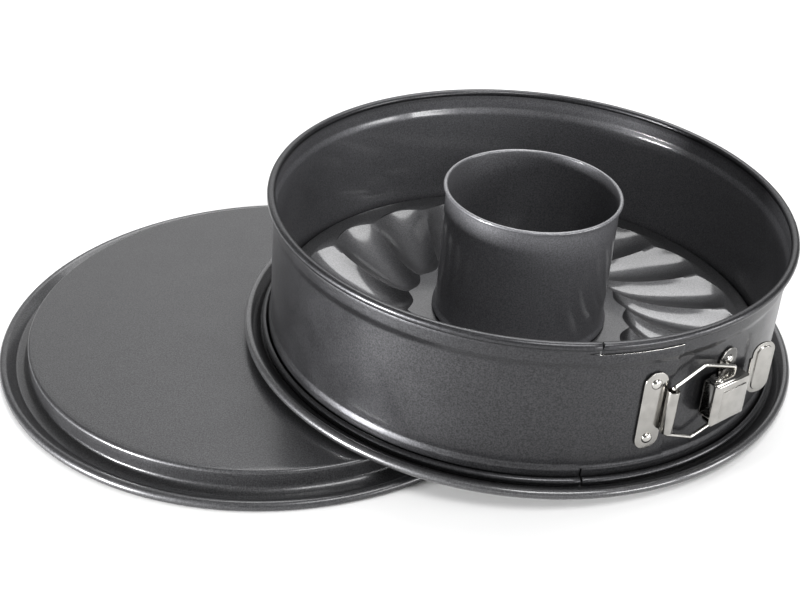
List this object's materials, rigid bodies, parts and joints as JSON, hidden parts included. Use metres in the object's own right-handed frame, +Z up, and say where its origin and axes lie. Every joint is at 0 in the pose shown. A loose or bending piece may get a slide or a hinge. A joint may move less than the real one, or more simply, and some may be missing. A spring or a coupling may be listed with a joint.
{
  "type": "springform tube pan",
  "caption": "Springform cake pan: a sprung ring with a wire latch around a swirl-fluted base with a centre tube, leaning on its spare flat base.",
  "frame": {"origin": "centre of the footprint on the table", "axes": "+Z up, +X from the flat base towards the pan, -Y towards the front"},
  "size_m": [0.4164, 0.2882, 0.0954],
  "materials": {
    "dark_coating": "dark grey satin non-stick coating",
    "bright_plating": "bright plated steel"
  },
  "bodies": {
    "spare_base": {"flat_base": "dark_coating"},
    "pan_base": {"tube_base": "dark_coating", "centre_tube": "dark_coating"},
    "ring": {"band_right": "dark_coating", "lever_bracket": "bright_plating", "lever_bracket_rivet_upper": "bright_plating", "lever_bracket_rivet_lower": "bright_plating", "lever_pin": "bright_plating"},
    "ring_left": {"band_left": "dark_coating", "bail_plate": "bright_plating", "bail_plate_rivet_upper": "bright_plating", "bail_plate_rivet_lower": "bright_plating"},
    "lever": {"lever": "bright_plating"},
    "bail": {"bail": "bright_plating"}
  },
  "joints": [
    {"name": "pan_lift", "type": "slide", "parent": "spare_base", "child": "pan_base", "axis": [0, 0, 1], "range_m": [0, 0.1]},
    {"name": "ring_lift", "type": "slide", "parent": "pan_base", "child": "ring", "axis": [0.0615, 0, 0.9981], "range_m": [0, 0.1]},
    {"name": "band_spread", "type": "hinge", "parent": "ring", "child": "ring_left", "pos_m": [0.00593, 0.11986, 0.05071], "axis": [-0.0615, 0, -0.9981], "range_deg": [0, 0.6]},
    {"name": "lever_turn", "type": "hinge", "parent": "ring", "child": "lever", "pos_m": [0.14692, -0.11114, 0.04202], "axis": [-0.0615, 0, -0.9981], "range_deg": [0, 80]},
    {"name": "bail_turn", "type": "hinge", "parent": "lever", "child": "bail", "pos_m": [0.15555, -0.10249, 0.04149], "axis": [0.0615, 0, 0.9981], "range_deg": [0, 56]}
  ],
  "couplings": [
    {"joint": "band_spread", "follows": "lever_turn", "ratio": 0.0074},
    {"joint": "bail_turn", "follows": "lever_turn", "ratio": 0.695}
  ]
}
